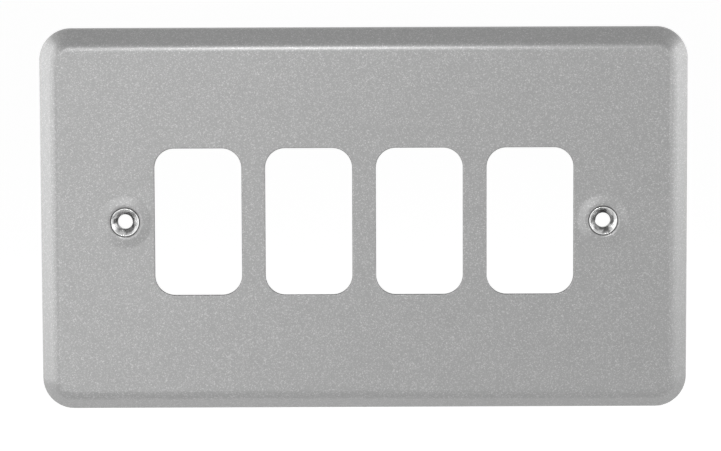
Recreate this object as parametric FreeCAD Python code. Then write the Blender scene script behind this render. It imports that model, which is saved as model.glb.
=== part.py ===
import FreeCAD, Part
import math
import os

# Front plate of a four-module grid switch: one painted steel sheet, pressed into a shallow
# tray with turned-back edges, punched with four windows, and dimpled at both ends for the
# fixing screws. A plated eyelet is swaged into each dimple.
#
# Millimetres. X runs across the plate, Z is up and the front faces -Y. The origin is midway
# between the two screws, on the plane y = 0 where the rim meets the wall.

# Windows that the switch modules look through.
window_count = 4
window_pitch = 27.9
window_wide = 21.9
window_high = 37.2
window_corner = 5.0
window_edge_roll = 0.3

# Sheet and its turned-back edge. Bend radii are those on the inner side of the bend.
sheet = 1.0
plate_deep = 9.1
skirt_deep = 1.8
slope_angle = 60.0
skirt_bend = 2.0
face_bend = 2.0
face_corner = 2.5
window_to_edge = 29.9
screw_to_edge = 21.7

# Screw eyelet, whose bore clears a 3.5 mm screw.
screw_bore = 3.7
eyelet_wall = 0.3
flange_long = 1.8
throat_bend = 0.3
tail_bend = 0.45
seat_clear = 0.05

# Dimple around each screw: a low swelling, a rounded lip and a cone down to the punched hole.
cone_angle = 45.0
cone_wide = 2.2
lip_bend = 0.2
swell_wide = 2.6
swell_angle = 11.0
swell_foot_bend = 4.0
dimple_to_window = 0.5
punch_spare = 0.2

# The slope takes up the depth that the skirt and the two bends of the edge leave.
slope = math.radians(slope_angle)
skirt_outer = skirt_bend + sheet
face_outer = face_bend + sheet
bends_deep = skirt_outer * math.cos(slope) + face_outer * (1 - math.cos(slope))
slope_long = (plate_deep - skirt_deep - bends_deep) / math.sin(slope)
bends_wide = skirt_outer * (1 - math.sin(slope)) + face_outer * math.sin(slope)
edge_wide = bends_wide + slope_long * math.cos(slope)
rim_corner = edge_wide + face_corner

# Radii of the dimple, outwards from the screw's axis.
cone = math.radians(cone_angle)
swell = math.radians(swell_angle)
lip_outer = lip_bend + sheet
hole_radius = screw_bore / 2 + eyelet_wall + seat_clear
lip_radius = hole_radius + cone_wide
foot_radius = lip_radius + swell_wide
swell_run = (swell_wide - (swell_foot_bend + lip_outer) * math.sin(swell)) / math.cos(swell)
cone_run = (cone_wide - lip_outer * math.sin(cone)) / math.cos(cone)

# Levels of the dimple along Y: the face, the lip's top, and the punched hole's two ends.
face_y = -plate_deep
swell_high = (swell_foot_bend + lip_outer) * (1 - math.cos(swell)) + swell_run * math.sin(swell)
lip_y = face_y - swell_high
hole_front_y = lip_y + lip_outer * (1 - math.cos(cone)) + cone_run * math.sin(cone)
hole_rear_y = hole_front_y + sheet / math.cos(cone)

# The screws stand 120.6 mm apart, the fixing centres of a two-gang wall box.
windows_wide = (window_count - 1) * window_pitch + window_wide
screw_spacing = windows_wide + 2 * (foot_radius + dimple_to_window)
plate_wide = screw_spacing + 2 * screw_to_edge
plate_high = window_high + 2 * window_to_edge

ORIGIN = FreeCAD.Vector(0, 0, 0)
X_AXIS = FreeCAD.Vector(1, 0, 0)
Y_AXIS = FreeCAD.Vector(0, 1, 0)
Z_AXIS = FreeCAD.Vector(0, 0, 1)


def direction(angle):
    """Unit vector in the XY plane, in degrees from +X towards +Y."""
    return FreeCAD.Vector(math.cos(math.radians(angle)), math.sin(math.radians(angle)), 0)


def end_cap(left_point, heading, outwards, thick, rounded):
    """Edge that closes a strip's end, square or half round."""
    right_point = left_point + direction(heading - 90) * thick
    if not rounded:
        return Part.makeLine(left_point, right_point)
    crest = (left_point + right_point) / 2 + outwards * (thick / 2)
    return Part.Arc(left_point, crest, right_point).toShape()


def strip(start, heading, steps, thick, rounded=False):
    """Section of a bent strip of metal, as a face in the XY plane.

    The path follows the strip's left surface, from start and at heading degrees. Each step is
    a straight length, or a pair of inner bend radius and degrees where a left turn is positive.
    """
    point = FreeCAD.Vector(start[0], start[1], 0)
    edges = [end_cap(point, heading, -direction(heading), thick, rounded)]
    for step in steps:
        if isinstance(step, tuple):
            bend, turn = step
            side = math.copysign(1, turn)
            left_radius = bend if turn > 0 else bend + thick
            right_radius = bend + thick if turn > 0 else bend
            centre = point + direction(heading + 90) * (side * left_radius)
            spokes = [direction(heading + share * turn - 90) * side for share in (0, 0.5, 1)]
            for radius in (left_radius, right_radius):
                edges.append(Part.Arc(*[centre + spoke * radius for spoke in spokes]).toShape())
            heading += turn
            point = centre + spokes[-1] * left_radius
        else:
            far = point + direction(heading) * step
            across = direction(heading - 90) * thick
            edges.append(Part.makeLine(point, far))
            edges.append(Part.makeLine(point + across, far + across))
            point = far
    edges.append(end_cap(point, heading, direction(heading), thick, rounded))
    return Part.Face(Part.Wire(Part.__sortEdges__(edges)))


def rounded_slab(wide, high, corner, front_y, thick):
    """Flat slab with rounded corners, centred on the Y axis, from front_y back by thick."""
    slab = Part.makeBox(wide, thick, high, FreeCAD.Vector(-wide / 2, front_y, -high / 2))
    upright = [edge for edge in slab.Edges if abs(edge.tangentAt(0).dot(Y_AXIS)) > 0.5]
    return slab.makeFillet(corner, upright)


def turned_edge():
    """Turned-back edge all round: four straight sides and four revolved corners."""
    section = strip(
        (rim_corner, 0),
        -90,
        [
            skirt_deep,
            (skirt_bend, slope_angle - 90),
            slope_long,
            (face_bend, -slope_angle),
        ],
        sheet,
    )
    corner = section.revolve(ORIGIN, Y_AXIS, -90)
    wide_run = plate_wide - 2 * rim_corner
    high_run = plate_high - 2 * rim_corner
    pieces = []
    for quarter, side_run in enumerate((high_run, wide_run, high_run, wide_run)):
        side = section.extrude(Z_AXIS * -side_run)
        toward_x = 1 if quarter in (0, 3) else -1
        toward_z = 1 if quarter in (0, 1) else -1
        corner_centre = FreeCAD.Vector(toward_x * wide_run / 2, 0, toward_z * high_run / 2)
        for piece in (corner, side):
            placed = piece.copy()
            placed.rotate(ORIGIN, Y_AXIS, -90 * quarter)
            placed.translate(corner_centre)
            pieces.append(placed)
    return pieces


def dimple():
    """Pressed dimple around a screw, about the Y axis, with its hole punched through."""
    spare_run = sheet * math.tan(cone) + punch_spare
    section = strip(
        (foot_radius, face_y),
        180,
        [
            (swell_foot_bend, swell_angle),
            swell_run,
            (lip_bend, -swell_angle - cone_angle),
            cone_run + spare_run,
        ],
        sheet,
    )
    pressed = section.revolve(ORIGIN, Y_AXIS, 360)
    punch = Part.makeCylinder(hole_radius, plate_deep, FreeCAD.Vector(0, lip_y, 0), Y_AXIS)
    return pressed.cut(punch)


def at_screws(shape):
    """The shape repeated at the left and the right screw."""
    placed = {}
    for side, place in (("left", -0.5), ("right", 0.5)):
        placed[side] = shape.copy()
        placed[side].translate(X_AXIS * (place * screw_spacing))
    return placed


def front_plate():
    """Painted sheet: face, turned edge, windows and dimples in one pressing."""
    plate = rounded_slab(
        plate_wide - 2 * edge_wide,
        plate_high - 2 * edge_wide,
        face_corner,
        face_y,
        sheet,
    )
    window = rounded_slab(window_wide, window_high, window_corner, face_y - sheet, 3 * sheet)
    for number in range(window_count):
        punch = window.copy()
        punch.translate(X_AXIS * ((number - (window_count - 1) / 2) * window_pitch))
        plate = plate.cut(punch)
    blank = Part.makeCylinder(foot_radius, 3 * sheet, FreeCAD.Vector(0, face_y - sheet, 0), Y_AXIS)
    plate = plate.cut(list(at_screws(blank).values()))
    plate = plate.fuse(turned_edge() + list(at_screws(dimple()).values())).removeSplitter()
    return round_window_edges(plate.Solids[0])


def round_window_edges(plate):
    """Punching rolls the front edge of each window over."""
    rolled = []
    for edge in plate.Edges:
        box = edge.BoundBox
        on_face = abs(box.YMin - face_y) < 1e-4 and abs(box.YMax - face_y) < 1e-4
        in_windows = max(-box.XMin, box.XMax) < windows_wide / 2 + 1e-4
        in_height = max(-box.ZMin, box.ZMax) < window_high / 2 + 1e-4
        if on_face and in_windows and in_height:
            rolled.append(edge)
    return plate.makeFillet(window_edge_roll, rolled)


def screw_eyelet():
    """Plated eyelet about the Y axis: conical flange, barrel, and tail rolled behind the sheet."""
    barrel_outer = screw_bore / 2 + eyelet_wall
    seat_offset = throat_bend - seat_clear
    throat_x = barrel_outer + throat_bend
    throat_y = hole_front_y + seat_offset * (1 - math.sin(cone)) / math.cos(cone)
    tail_y = hole_rear_y + seat_clear
    flange_heading = 180 - cone_angle
    flange_foot = FreeCAD.Vector(throat_x, throat_y, 0)
    flange_foot += direction(flange_heading + 90) * (throat_bend + eyelet_wall)
    flange_rim = flange_foot - direction(flange_heading) * flange_long
    # The tail's round end stops short of the dimple's rear cone by the seat clearance.
    tail_middle = barrel_outer + 2 * tail_bend + eyelet_wall / 2
    cone_behind = (tail_middle - hole_radius) * math.tan(cone)
    tail_run = seat_clear + cone_behind - (eyelet_wall / 2 + seat_clear) / math.cos(cone)
    section = strip(
        flange_rim,
        flange_heading,
        [
            flange_long,
            (throat_bend, cone_angle - 90),
            tail_y - throat_y,
            (tail_bend, -180),
            tail_run,
        ],
        eyelet_wall,
        rounded=True,
    )
    return section.revolve(ORIGIN, Y_AXIS, 360)


os.makedirs("parts", exist_ok=True)
front_plate().exportStep("parts/front_plate.step")
for side, eyelet in at_screws(screw_eyelet()).items():
    eyelet.exportStep("parts/screw_eyelet_" + side + ".step")
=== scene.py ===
import bpy
import math
from mathutils import Matrix, Vector


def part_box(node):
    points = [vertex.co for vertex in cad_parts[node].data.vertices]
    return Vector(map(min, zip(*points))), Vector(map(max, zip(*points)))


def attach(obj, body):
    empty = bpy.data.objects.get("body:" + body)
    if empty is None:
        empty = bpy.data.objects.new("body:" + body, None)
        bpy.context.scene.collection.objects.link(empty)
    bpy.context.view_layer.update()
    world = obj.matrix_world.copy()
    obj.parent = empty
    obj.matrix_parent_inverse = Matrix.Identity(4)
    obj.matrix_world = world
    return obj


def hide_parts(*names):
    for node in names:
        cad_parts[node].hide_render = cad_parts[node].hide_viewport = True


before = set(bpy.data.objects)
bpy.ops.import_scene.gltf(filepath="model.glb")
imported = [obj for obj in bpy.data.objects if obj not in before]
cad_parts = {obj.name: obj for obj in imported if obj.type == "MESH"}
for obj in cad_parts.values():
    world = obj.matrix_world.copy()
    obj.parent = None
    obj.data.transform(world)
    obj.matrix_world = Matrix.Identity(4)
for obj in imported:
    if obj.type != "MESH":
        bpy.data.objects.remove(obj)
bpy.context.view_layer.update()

# Front plate: one sheet of 1 mm steel, pressed into a shallow tray with turned-back edges,
# punched with four windows and dimpled at both ends for the fixing screws. It is stoved all
# over with a fine-grained silver enamel, which also rounds the cut edges a little.

MM = 0.001
sheet = 1.0
plate_deep = 9.1
slope_angle = 60.0
skirt_deep = 1.8
skirt_bend = 2.0
face_bend = 2.0
face_corner = 2.5
rim_round = 0.15

window_count = 4
window_pitch = 27.9
window_wide = 21.9
window_high = 37.2
window_corner = 5.0
window_edge_roll = 0.3
window_burr_round = 0.1

hole_radius = 2.2
hole_round = 0.08
cone_angle = 45.0
cone_wide = 2.2
lip_bend = 0.2
swell_wide = 2.6
swell_angle = 11.0
swell_foot_bend = 4.0

# Flat strip that each bend ends in, so that the wide faces shade flat. The strips of a window
# and of the dimple beside it both fit between them.
flat_margin = 0.08
# A bend's facets leave its arc by no more than this.
facet_rise = 0.001
weld_distance = 0.002 * MM
corner_steps = 32
hole_steps = 24
# Whole numbers in the nodes are taken as equal within this.
count_slack = 0.1


def fold_line(start, heading, steps):
    """Points along the surface of a folded sheet, as seen in its section.

    A step is a straight length, or a pair of bend radius and degrees, positive to the left.
    """
    points = [start]
    for step in steps:
        across, high = points[-1]
        if isinstance(step, tuple):
            radius, turn = step
            to_centre = math.radians(heading + math.copysign(90, turn))
            centre_across = across + radius * math.cos(to_centre)
            centre_high = high + radius * math.sin(to_centre)
            facet = 2 * math.acos(1 - facet_rise / radius)
            facets = math.ceil(abs(math.radians(turn)) / facet)
            for number in range(1, facets + 1):
                spoke = to_centre + math.pi + math.radians(turn) * number / facets
                across = centre_across + radius * math.cos(spoke)
                high = centre_high + radius * math.sin(spoke)
                points.append((across, high))
            heading += turn
        else:
            ease = min(flat_margin, step) / 3
            for run in (ease, step - ease, step):
                far_across = across + run * math.cos(math.radians(heading))
                far_high = high + run * math.sin(math.radians(heading))
                points.append((far_across, far_high))
    return points


def corner_cut(radius, turn):
    """Length that a rounded corner takes off each of the runs beside it."""
    return radius * math.tan(math.radians(abs(turn) / 2))


# Sections run from the back of the sheet to its front, or for the turned edge from front to
# back. Their first number is the distance from a corner's centre, their second the height.
slope = math.radians(slope_angle)
skirt_outer = skirt_bend + sheet
face_outer = face_bend + sheet
bends_deep = skirt_outer * math.cos(slope) + face_outer * (1 - math.cos(slope))
slope_long = (plate_deep - skirt_deep - bends_deep) / math.sin(slope)
bends_wide = skirt_outer * (1 - math.sin(slope)) + face_outer * math.sin(slope)
rim_corner = face_corner + bends_wide + slope_long * math.cos(slope)
edge_section = fold_line(
    (face_corner - flat_margin, plate_deep),
    0,
    [
        flat_margin,
        (face_outer, -slope_angle),
        slope_long,
        (skirt_outer, slope_angle - 90),
        skirt_deep - rim_round,
        (rim_round, -90),
        sheet - 2 * rim_round,
        (rim_round, -90),
        skirt_deep - rim_round,
        (skirt_bend, 90 - slope_angle),
        slope_long,
        (face_bend, slope_angle),
        flat_margin,
    ],
)

window_section = fold_line(
    (window_corner + window_edge_roll + flat_margin, plate_deep - sheet),
    180,
    [
        flat_margin + window_edge_roll - window_burr_round,
        (window_burr_round, -90),
        sheet - window_burr_round - window_edge_roll,
        (window_edge_roll, -90),
        flat_margin,
    ],
)

cone = math.radians(cone_angle)
swell = math.radians(swell_angle)
lip_outer = lip_bend + sheet
lip_radius = hole_radius + cone_wide
foot_radius = lip_radius + swell_wide
swell_run = (swell_wide - (swell_foot_bend + lip_outer) * math.sin(swell)) / math.cos(swell)
front_cone_run = (cone_wide - lip_outer * math.sin(cone)) / math.cos(cone)
back_cone_run = (cone_wide - lip_bend * math.sin(cone)) / math.cos(cone)
front_cut = corner_cut(hole_round, cone_angle)
back_cut = corner_cut(hole_round, 180 - cone_angle)
dimple_section = fold_line(
    (foot_radius + flat_margin, plate_deep - sheet),
    180,
    [
        flat_margin,
        (swell_foot_bend + sheet, -swell_angle),
        swell_run,
        (lip_bend, swell_angle + cone_angle),
        back_cone_run - back_cut,
        (hole_round, cone_angle - 180),
        sheet / math.cos(cone) - back_cut - front_cut,
        (hole_round, -cone_angle),
        front_cone_run - front_cut,
        (lip_outer, -swell_angle - cone_angle),
        swell_run,
        (swell_foot_bend, swell_angle),
        flat_margin,
    ],
)


def add_node(tree, kind, inputs=(), **settings):
    """New node with its settings, and its inputs by name or number: sockets or plain values."""
    node = tree.nodes.new(kind)
    for name, value in settings.items():
        setattr(node, name, value)
    for name, value in dict(inputs).items():
        if isinstance(value, bpy.types.NodeSocket):
            tree.links.new(value, node.inputs[name])
        else:
            node.inputs[name].default_value = value
    return node


def calculate(tree, operation, *values):
    """Result socket of one sum on numbers."""
    return add_node(tree, "ShaderNodeMath", enumerate(values), operation=operation).outputs[0]


def new_tree(name, sockets):
    """Geometry Nodes tree with named inputs and one geometry output."""
    tree = bpy.data.node_groups.new(name, "GeometryNodeTree")
    for socket_name, kind in sockets.items():
        tree.interface.new_socket(socket_name, in_out="INPUT", socket_type="NodeSocket" + kind)
    tree.interface.new_socket("Geometry", in_out="OUTPUT", socket_type="NodeSocketGeometry")
    return tree, tree.nodes.new("NodeGroupInput").outputs, tree.nodes.new("NodeGroupOutput").inputs


def sweep_tree():
    """Sweeps a section round a rectangle with round corners, or round a circle."""
    tree, given, result = new_tree(
        "sweep_round_corners",
        {
            "Section": "Geometry",
            "Half Across": "Float",
            "Half Up": "Float",
            "Corner Steps": "Int",
            "Past Corner": "Float",
        },
    )
    # A corner has one station more than it has steps, and another a little way along each of
    # the two sides that meet there.
    counted = add_node(tree, "GeometryNodeAttributeDomainSize", {"Geometry": given["Section"]})
    per_corner = calculate(tree, "ADD", given["Corner Steps"], 1 + 2)
    corners = 4
    stations = calculate(tree, "MULTIPLY", per_corner, corners)
    grid = add_node(
        tree,
        "GeometryNodeMeshGrid",
        {
            "Vertices X": counted.outputs["Point Count"],
            "Vertices Y": calculate(tree, "ADD", stations, 1),
        },
    )
    index = tree.nodes.new("GeometryNodeInputIndex").outputs["Index"]
    row_long = calculate(tree, "ADD", stations, 1)
    on_section = calculate(tree, "FLOOR", calculate(tree, "DIVIDE", index, row_long))
    in_row = calculate(tree, "SUBTRACT", index, calculate(tree, "MULTIPLY", on_section, row_long))
    station = calculate(tree, "MODULO", in_row, stations)
    corner = calculate(tree, "FLOOR", calculate(tree, "DIVIDE", station, per_corner))
    in_corner = calculate(tree, "SUBTRACT", calculate(tree, "MODULO", station, per_corner), 1)
    last_step = given["Corner Steps"]
    on_arc = calculate(tree, "MINIMUM", calculate(tree, "MAXIMUM", in_corner, 0), last_step)
    past_arc = calculate(tree, "SUBTRACT", in_corner, on_arc)
    turned = calculate(tree, "ADD", corner, calculate(tree, "DIVIDE", on_arc, last_step))
    angle = calculate(tree, "MULTIPLY", turned, math.pi / 2)
    middle = calculate(tree, "MULTIPLY", calculate(tree, "ADD", corner, 0.5), math.pi / 2)

    section_point = add_node(
        tree,
        "GeometryNodeSampleIndex",
        {
            "Geometry": given["Section"],
            "Value": tree.nodes.new("GeometryNodeInputPosition").outputs[0],
            "Index": on_section,
        },
        data_type="FLOAT_VECTOR",
    )
    section_point = add_node(tree, "ShaderNodeSeparateXYZ", {0: section_point.outputs["Value"]})
    along = calculate(tree, "MULTIPLY", past_arc, given["Past Corner"])
    place = []
    for straight, function, slide_function, slide_sign in (
        (given["Half Across"], "COSINE", "SINE", -1),
        (given["Half Up"], "SINE", "COSINE", 1),
    ):
        side = calculate(tree, "SIGN", calculate(tree, function, middle))
        slide = calculate(tree, "MULTIPLY", calculate(tree, slide_function, angle), along)
        total = calculate(tree, "MULTIPLY", side, straight)
        total = calculate(tree, "MULTIPLY_ADD", slide, slide_sign, total)
        spoke = calculate(tree, function, angle)
        place.append(calculate(tree, "MULTIPLY_ADD", spoke, section_point.outputs["X"], total))
    place.append(section_point.outputs["Z"])
    place = add_node(tree, "ShaderNodeCombineXYZ", enumerate(place)).outputs[0]
    swept = add_node(
        tree,
        "GeometryNodeSetPosition",
        {"Geometry": grid.outputs["Mesh"], "Position": place},
    )
    welded = add_node(
        tree,
        "GeometryNodeMergeByDistance",
        {"Geometry": swept.outputs[0], "Distance": weld_distance},
    )
    tree.links.new(welded.outputs[0], result[0])
    return tree


def sections_mesh(name, sections):
    """Mesh of open lines, one for each section, numbered in the attribute section."""
    points = []
    edges = []
    numbers = []
    for number, section in enumerate(sections):
        first = len(points)
        points += [(across * MM, 0, high * MM) for across, high in section]
        edges += [(place, place + 1) for place in range(first, len(points) - 1)]
        numbers += [number] * len(section)
    mesh = bpy.data.meshes.new(name)
    mesh.from_pydata(points, edges, [])
    mesh.attributes.new("section", "INT", "POINT").data.foreach_set("value", numbers)
    return mesh


def press_tree(sweep):
    """Joins the turned edge, windows and dimples by the face's flat front and back."""
    tree, given, result = new_tree(
        "pressed_plate",
        {
            "Sections": "Geometry",
            "Edge Half Across": "Float",
            "Edge Half Up": "Float",
            "Window Half Across": "Float",
            "Window Half Up": "Float",
            "Window Count": "Int",
            "Window Pitch": "Float",
            "Screw Spacing": "Float",
            "Face Height": "Float",
            "Sheet": "Float",
            "Paint": "Material",
        },
    )
    number = add_node(tree, "GeometryNodeInputNamedAttribute", {"Name": "section"}, data_type="INT")

    def swept(wanted, half_across, half_up, steps, past_corner):
        """The section of this number, swept round a rectangle with these half sides."""
        chosen = add_node(
            tree,
            "GeometryNodeSeparateGeometry",
            {
                "Geometry": given["Sections"],
                "Selection": calculate(tree, "COMPARE", number.outputs[0], wanted, count_slack),
            },
        )
        group = add_node(tree, "GeometryNodeGroup", node_tree=sweep)
        values = (chosen.outputs["Selection"], half_across, half_up, steps, past_corner)
        for socket, value in zip(group.inputs, values):
            if isinstance(value, bpy.types.NodeSocket):
                tree.links.new(value, socket)
            else:
                socket.default_value = value
        return group.outputs[0]

    def in_a_row(shape, count, pitch):
        """Copies of the shape along X, centred on the plate."""
        half = calculate(tree, "MULTIPLY", calculate(tree, "SUBTRACT", count, 1), -0.5)
        start = add_node(tree, "ShaderNodeCombineXYZ", {"X": calculate(tree, "MULTIPLY", half, pitch)})
        step = add_node(tree, "ShaderNodeCombineXYZ", {"X": pitch})
        points = add_node(
            tree,
            "GeometryNodeMeshLine",
            {"Count": count, "Start Location": start.outputs[0], "Offset": step.outputs[0]},
        )
        placed = add_node(
            tree,
            "GeometryNodeInstanceOnPoints",
            {"Points": points.outputs[0], "Instance": shape},
        )
        return add_node(tree, "GeometryNodeRealizeInstances", {0: placed.outputs[0]}).outputs[0]

    def join(*shapes):
        """The shapes as one welded mesh."""
        joined = tree.nodes.new("GeometryNodeJoinGeometry")
        for shape in shapes:
            tree.links.new(shape, joined.inputs[0])
        welded = add_node(
            tree,
            "GeometryNodeMergeByDistance",
            {"Geometry": joined.outputs[0], "Distance": weld_distance},
        )
        return welded.outputs[0]

    edge = swept(0, given["Edge Half Across"], given["Edge Half Up"], corner_steps, MM)
    window = swept(
        1, given["Window Half Across"], given["Window Half Up"], hole_steps, flat_margin * MM
    )
    dimple = swept(2, 0.0, 0.0, hole_steps, 0.0)
    windows = in_a_row(window, given["Window Count"], given["Window Pitch"])
    dimples = in_a_row(dimple, 2, given["Screw Spacing"])
    bends = join(edge, windows, dimples)

    # The open edges of the bends are loops at the face's front and at its back, and a flat
    # sheet fills each set of loops.
    height = tree.nodes.new("GeometryNodeInputPosition")
    height = add_node(tree, "ShaderNodeSeparateXYZ", {0: height.outputs[0]}).outputs["Z"]
    faces_beside = tree.nodes.new("GeometryNodeInputMeshEdgeNeighbors").outputs["Face Count"]
    is_open = calculate(tree, "COMPARE", faces_beside, 1, count_slack)
    back_height = calculate(tree, "SUBTRACT", given["Face Height"], given["Sheet"])
    flats = []
    for level in (given["Face Height"], back_height):
        at_level = calculate(tree, "COMPARE", height, level, weld_distance)
        loops = add_node(
            tree,
            "GeometryNodeMeshToCurve",
            {"Mesh": bends, "Selection": calculate(tree, "MULTIPLY", is_open, at_level)},
        )
        filled = add_node(tree, "GeometryNodeFillCurve", {0: loops.outputs[0]})
        lift = add_node(tree, "ShaderNodeCombineXYZ", {"Z": level})
        flat = add_node(
            tree,
            "GeometryNodeTransform",
            {"Geometry": filled.outputs[0], "Translation": lift.outputs[0]},
        )
        flats.append(flat.outputs[0])
    flats[1] = add_node(tree, "GeometryNodeFlipFaces", {0: flats[1]}).outputs[0]
    # So far the plate lies on its rim with the face up. It is stood upright, facing -Y.
    upright = add_node(
        tree,
        "GeometryNodeTransform",
        {"Geometry": join(bends, *flats), "Rotation": (math.pi / 2, 0, 0)},
    )
    smooth = add_node(tree, "GeometryNodeSetShadeSmooth", {0: upright.outputs[0]})
    real = add_node(tree, "GeometryNodeRealizeInstances", {0: smooth.outputs[0]})
    painted = add_node(
        tree,
        "GeometryNodeSetMaterial",
        {"Geometry": real.outputs[0], "Material": given["Paint"]},
    )
    tree.links.new(painted.outputs[0], result[0])
    return tree


def new_material(name):
    """Material with an empty principled shader, and the object's own coordinates."""
    material = bpy.data.materials.new(name)
    material.use_nodes = True
    tree = material.node_tree
    shader = tree.nodes["Principled BSDF"]
    coordinates = tree.nodes.new("ShaderNodeTexCoord").outputs["Object"]
    return material, tree, shader, coordinates


cad_low, cad_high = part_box("front_plate")
eyelet_middles = [sum(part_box("screw_eyelet_" + side), Vector()) / 2 for side in ("left", "right")]
screw_spacing = eyelet_middles[1].x - eyelet_middles[0].x


def off_screw_axis(tree, coordinates):
    """Distance from the axis of the nearer screw."""
    place = add_node(tree, "ShaderNodeSeparateXYZ", {0: coordinates}).outputs
    aside = calculate(tree, "ABSOLUTE", place["X"])
    aside = calculate(tree, "SUBTRACT", aside, screw_spacing / 2)
    aside = calculate(tree, "MULTIPLY", aside, aside)
    return calculate(tree, "SQRT", calculate(tree, "MULTIPLY_ADD", place["Z"], place["Z"], aside))


# Band of a cut edge that is made darker: half its width as a share of the sheet, its spare reach past
# the windows in millimetres, and the share of brightness left on it.
cut_half_band = 0.42
cut_spare = 0.1
cut_share = 0.35


def darker_on_cut_edges(tree, coordinates):
    """Share of its brightness that the enamel's colour keeps: less on the cut edges of the windows."""
    place = add_node(tree, "ShaderNodeSeparateXYZ", {0: coordinates}).outputs
    cut_middle = (sheet / 2 - plate_deep) * MM
    on_cut = calculate(tree, "COMPARE", place["Y"], cut_middle, cut_half_band * sheet * MM)
    windows_wide = (window_count - 1) * window_pitch + window_wide
    for axis, reach in (("X", windows_wide), ("Z", window_high)):
        beside = calculate(tree, "ABSOLUTE", place[axis])
        within = calculate(tree, "LESS_THAN", beside, (reach / 2 + cut_spare) * MM)
        on_cut = calculate(tree, "MULTIPLY", on_cut, within)
    return calculate(tree, "MULTIPLY_ADD", on_cut, cut_share - 1, 1.0)


enamel_grey = (0.425, 0.425, 0.425)
flake_wide = 0.2 * MM
# A flake's chance, from 0 to 1, is raised to this power, so that only a few get a painted glint: a
# brighter colour that stands in for the light they reflect.
painted_glint_rarity = 5.0
painted_glint_strength = 0.5
share_without_painted_glint = 0.915
cloud_wide = 6.0 * MM
cloud_strength = 0.06
peel_wide = 0.8 * MM
peel_deep = 0.01 * MM
flange_rim_radius = 3.55 * MM
# Painted shade: a dark ring on the enamel just outside the eyelet's flange, where the crevice between
# them lies.
crevice_shade_wide = 0.45 * MM
crevice_shade_share = 0.2


def silver_enamel():
    """Stoved enamel, pale grey, with metal flakes that differ in tone, the brightest few as painted
    glints, and a slight orange peel.

    It is darkened with painted shade in a ring just outside the eyelet's flange, where the crevice
    between them lies.
    """
    material, tree, shader, coordinates = new_material("silver_enamel")
    # Flakes differ in tone at random; the brightest few are painted glints, a brighter colour standing
    # in for reflected light.
    flake = add_node(tree, "ShaderNodeTexVoronoi", {"Vector": coordinates, "Scale": 1 / flake_wide})
    chance = add_node(tree, "ShaderNodeSeparateColor", {0: flake.outputs["Color"]}).outputs[0]
    painted_glint = calculate(tree, "POWER", chance, painted_glint_rarity)
    painted_glint = calculate(tree, "MULTIPLY_ADD", painted_glint, painted_glint_strength, share_without_painted_glint)
    cloud = add_node(
        tree,
        "ShaderNodeTexNoise",
        {"Vector": coordinates, "Scale": 1 / cloud_wide, "Detail": 3.0},
    )
    cloud = cloud.outputs[0]
    mottle_and_painted_shade = calculate(tree, "MULTIPLY_ADD", cloud, cloud_strength, 1 - cloud_strength / 2)
    # Painted shade in a ring round the flange, darkest at its rim.
    crevice_shade = add_node(
        tree,
        "ShaderNodeMapRange",
        {
            "Value": off_screw_axis(tree, coordinates),
            "From Min": flange_rim_radius,
            "From Max": flange_rim_radius + crevice_shade_wide,
            "To Min": crevice_shade_share,
            "To Max": 1.0,
        },
        interpolation_type="SMOOTHSTEP",
    )
    mottle_and_painted_shade = calculate(tree, "MULTIPLY", mottle_and_painted_shade, crevice_shade.outputs[0])
    mottle_and_painted_shade = calculate(tree, "MULTIPLY", mottle_and_painted_shade, darker_on_cut_edges(tree, coordinates))
    shade = calculate(tree, "MULTIPLY", painted_glint, mottle_and_painted_shade)
    shaded = {0: enamel_grey, "Scale": shade}
    colour = add_node(tree, "ShaderNodeVectorMath", shaded, operation="SCALE")
    tree.links.new(colour.outputs[0], shader.inputs["Base Color"])
    peel = add_node(
        tree,
        "ShaderNodeTexNoise",
        {"Vector": coordinates, "Scale": 1 / peel_wide, "Detail": 3.0, "Roughness": 0.6},
    )
    bump = add_node(
        tree,
        "ShaderNodeBump",
        {"Height": peel.outputs[0], "Strength": 1.0, "Distance": peel_deep},
    )
    tree.links.new(bump.outputs[0], shader.inputs["Normal"])
    shader.inputs["Metallic"].default_value = 0.55
    shader.inputs["Specular IOR Level"].default_value = 0.25
    shader.inputs["Roughness"].default_value = 0.38
    return material


front_plate = bpy.data.objects.new(
    "enamelled_plate",
    sections_mesh("enamelled_plate", [edge_section, window_section, dimple_section]),
)
bpy.context.scene.collection.objects.link(front_plate)


def shape_by_nodes(piece, tree, values):
    """Runs the tree on the piece's mesh, with inputs by name, and keeps what it makes."""
    modifier = piece.modifiers.new(tree.name, "NODES")
    modifier.node_group = tree
    for item in tree.interface.items_tree:
        if item.name in values:
            modifier[item.identifier] = values[item.name]
    graph = bpy.context.evaluated_depsgraph_get()
    made = bpy.data.meshes.new_from_object(piece.evaluated_get(graph))
    piece.modifiers.clear()
    piece.data = made


shape_by_nodes(
    front_plate,
    press_tree(sweep_tree()),
    {
        "Edge Half Across": cad_high.x - rim_corner * MM,
        "Edge Half Up": cad_high.z - rim_corner * MM,
        "Window Half Across": (window_wide / 2 - window_corner) * MM,
        "Window Half Up": (window_high / 2 - window_corner) * MM,
        "Window Count": window_count,
        "Window Pitch": window_pitch * MM,
        "Screw Spacing": screw_spacing,
        "Face Height": plate_deep * MM,
        "Sheet": sheet * MM,
        "Paint": silver_enamel(),
    },
)
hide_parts("front_plate")
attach(front_plate, "root")

# Screw eyelets: turned from brass and nickel plated, swaged into the dimples from the front.
# Their conical flanges take the heads of the fixing screws.


painted_shade_grey = (0.17, 0.17, 0.17, 1)
painted_reflection_grey = (0.72, 0.72, 0.72, 1)
patch_wide = 2.6 * MM
# The distance from the screw's axis, as a share of the rim's, and this much of the patches' noise are
# added up. Below the one limit the colour is painted shade, above the other a painted reflection.
patch_strength = 1.6
painted_shade_limit = 1.32
painted_reflection_limit = 1.68
mark_wide = 0.8 * MM
mark_deep = 0.05 * MM


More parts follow.
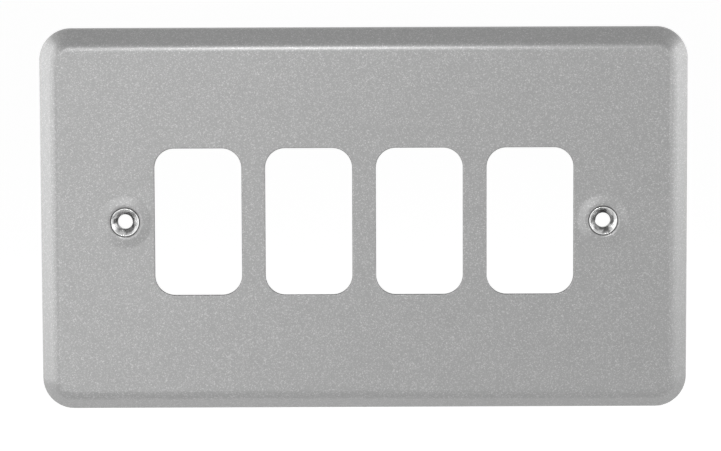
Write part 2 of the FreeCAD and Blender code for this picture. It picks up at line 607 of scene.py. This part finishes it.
def bright_nickel():
    """Nickel plating with painted reflections: bright at the flange's rim, and painted shade in
    patches down to the bore.
    """
    material, tree, shader, coordinates = new_material("bright_nickel")
    outwards = calculate(tree, "DIVIDE", off_screw_axis(tree, coordinates), flange_rim_radius)
    patches = add_node(
        tree,
        "ShaderNodeTexNoise",
        {"Vector": coordinates, "Scale": 1 / patch_wide, "Detail": 3.0, "Distortion": 0.5},
    )
    # Painted reflections and painted shade: bright towards the flange's rim, dark in patches towards
    # the bore.
    bright = calculate(tree, "MULTIPLY_ADD", patches.outputs[0], patch_strength, outwards)
    bright = add_node(
        tree,
        "ShaderNodeMapRange",
        {"Value": bright, "From Min": painted_shade_limit, "From Max": painted_reflection_limit},
        interpolation_type="SMOOTHSTEP",
    )
    # The node's sockets 6 and 7 are its two colours, and output 2 is their mixture.
    colour = add_node(
        tree,
        "ShaderNodeMix",
        {0: bright.outputs[0], 6: painted_shade_grey, 7: painted_reflection_grey},
        data_type="RGBA",
    )
    tree.links.new(colour.outputs[2], shader.inputs["Base Color"])
    marks = add_node(
        tree,
        "ShaderNodeTexNoise",
        {"Vector": coordinates, "Scale": 1 / mark_wide, "Detail": 2.0},
    )
    bump = add_node(
        tree,
        "ShaderNodeBump",
        {"Height": marks.outputs[0], "Strength": 1.0, "Distance": mark_deep},
    )
    tree.links.new(bump.outputs[0], shader.inputs["Normal"])
    shader.inputs["Metallic"].default_value = 1.0
    shader.inputs["Roughness"].default_value = 0.22
    return material


nickel = bright_nickel()
for side in ("left", "right"):
    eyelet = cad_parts["screw_eyelet_" + side]
    eyelet.data.materials.clear()
    eyelet.data.materials.append(nickel)

# Studio: a pale floor well below the plate, a soft panel beside each end, small lamps in front
# and one under the left half, all out of sight. The surround is white where it is seen, and
# dimmer overhead and where it only lights the plate.

floor_drop = 0.12
floor_half = 6.0
floor_grey = (0.45, 0.45, 0.45, 1)
white = (1, 1, 1, 1)
bpy.ops.mesh.primitive_plane_add(size=2 * floor_half, location=(0, 0, cad_low.z - floor_drop))
floor = bpy.context.object
floor.name = "studio_floor"
floor_paint, floor_tree, floor_shader, floor_coordinates = new_material("studio_floor")
floor_shader.inputs["Base Color"].default_value = floor_grey
floor_shader.inputs["Roughness"].default_value = 1.0
floor_shader.inputs["Specular IOR Level"].default_value = 0.0
floor_shader.inputs["Emission Color"].default_value = white
floor.data.materials.append(floor_paint)


def seen_rays(tree):
    """1 for the rays by which the studio is seen, and 0 for those that only light the plate."""
    rays = tree.nodes.new("ShaderNodeLightPath").outputs
    mirrored = calculate(tree, "MAXIMUM", rays["Is Glossy Ray"], rays["Is Transmission Ray"])
    return calculate(tree, "MAXIMUM", rays["Is Camera Ray"], mirrored)


# Strength of the floor's own white, within the near radius and past the far one.
near_radius = 0.3
far_radius = 0.9
near_lift = 0.88
far_lift = 0.95
from_plate = add_node(floor_tree, "ShaderNodeVectorMath", {0: floor_coordinates}, operation="LENGTH")
lift = add_node(
    floor_tree,
    "ShaderNodeMapRange",
    {
        "Value": from_plate.outputs["Value"],
        "From Min": near_radius,
        "From Max": far_radius,
        "To Min": near_lift,
        "To Max": far_lift,
    },
    interpolation_type="SMOOTHSTEP",
)
lift = calculate(floor_tree, "MULTIPLY", seen_rays(floor_tree), lift.outputs[0])
floor_tree.links.new(lift, floor_shader.inputs["Emission Strength"])

world = bpy.data.worlds.new("studio_surround")
bpy.context.scene.world = world
world.use_nodes = True
surround = world.node_tree
looked = surround.nodes.new("ShaderNodeTexCoord").outputs["Generated"]
looked = add_node(surround, "ShaderNodeSeparateXYZ", {0: looked}).outputs
seen_strength = 1.0
unseen_strength = 0.1
# Overhead the surround dims to this share, between two heights on a sphere of radius 1.
overhead_share = 0.72
dims_from = 0.3
dims_to = 0.9
brightness = add_node(
    surround,
    "ShaderNodeMapRange",
    {
        "Value": looked["Z"],
        "From Min": dims_from,
        "From Max": dims_to,
        "To Min": 1.0,
        "To Max": overhead_share,
    },
    interpolation_type="SMOOTHSTEP",
).outputs[0]
seen_more = seen_strength - unseen_strength
level = calculate(surround, "MULTIPLY_ADD", seen_rays(surround), seen_more, unseen_strength)
strength = calculate(surround, "MULTIPLY", brightness, level)
background = surround.nodes["Background"]
background.inputs["Color"].default_value = white
surround.links.new(strength, background.inputs["Strength"])


def soft_light(name, place, target, wide, high, power):
    """Rectangular soft light at one place that faces another. Sizes are in metres."""
    lamp = bpy.data.lights.new(name, "AREA")
    lamp.shape = "RECTANGLE"
    lamp.size = wide
    lamp.size_y = high
    lamp.energy = power
    holder = bpy.data.objects.new(name, lamp)
    holder.visible_camera = False
    bpy.context.scene.collection.objects.link(holder)
    aim = Vector(target) - Vector(place)
    holder.matrix_world = Matrix.Translation(place) @ aim.to_track_quat("-Z", "Y").to_matrix().to_4x4()


soft_light("left_panel", (-0.5, 0.13, 0.15), (0, 0.13, 0.15), wide=1.08, high=0.54, power=2.08)
soft_light("right_panel", (0.6, 0.2, 0.14), (0, 0.2, 0.14), wide=1.16, high=0.45, power=1.79)
soft_light("wide_top", (-0.25, -0.8, 0.2), (0, 0, 0), wide=0.4, high=0.12, power=0.48)
soft_light("low_lamp", (-0.2, -0.5, -0.09), (-0.02, 0, -0.02), wide=0.3, high=0.1, power=0.15)
soft_light("right_lamp", (0.4, -0.5, 0.05), (0, 0, 0), wide=0.16, high=0.1, power=0.18)
soft_light("front_lamp", (-0.022, -0.29, 0.19), (0, 0, 0), wide=0.04, high=0.05, power=0.2)
soft_light("under_lamp", (-0.045, 0.03, -0.155), (-0.045, 0, 0), wide=0.12, high=0.05, power=0.004)

# Camera: about a metre in front of the plate and a little above it.
camera_place = (-0.002818, -1.0091, 0.114961)
camera_yaw = -0.0019
camera_pitch = -0.11548
camera_roll = 0.00364
focal_pixels = 3990.57
photo_wide = 721
sensor_wide = 36.0
camera_data = bpy.data.cameras.new("camera")
camera_data.sensor_width = sensor_wide
camera_data.lens = focal_pixels / photo_wide * sensor_wide
camera = bpy.data.objects.new("camera", camera_data)
bpy.context.scene.collection.objects.link(camera)
turn = Matrix.Rotation(camera_yaw, 4, "Z") @ Matrix.Rotation(camera_pitch, 4, "X")
turn = turn @ Matrix.Rotation(camera_roll, 4, "Y") @ Matrix.Rotation(math.pi / 2, 4, "X")
camera.matrix_world = Matrix.Translation(camera_place) @ turn
bpy.context.scene.camera = camera
bpy.context.scene.view_settings.view_transform = "Standard"
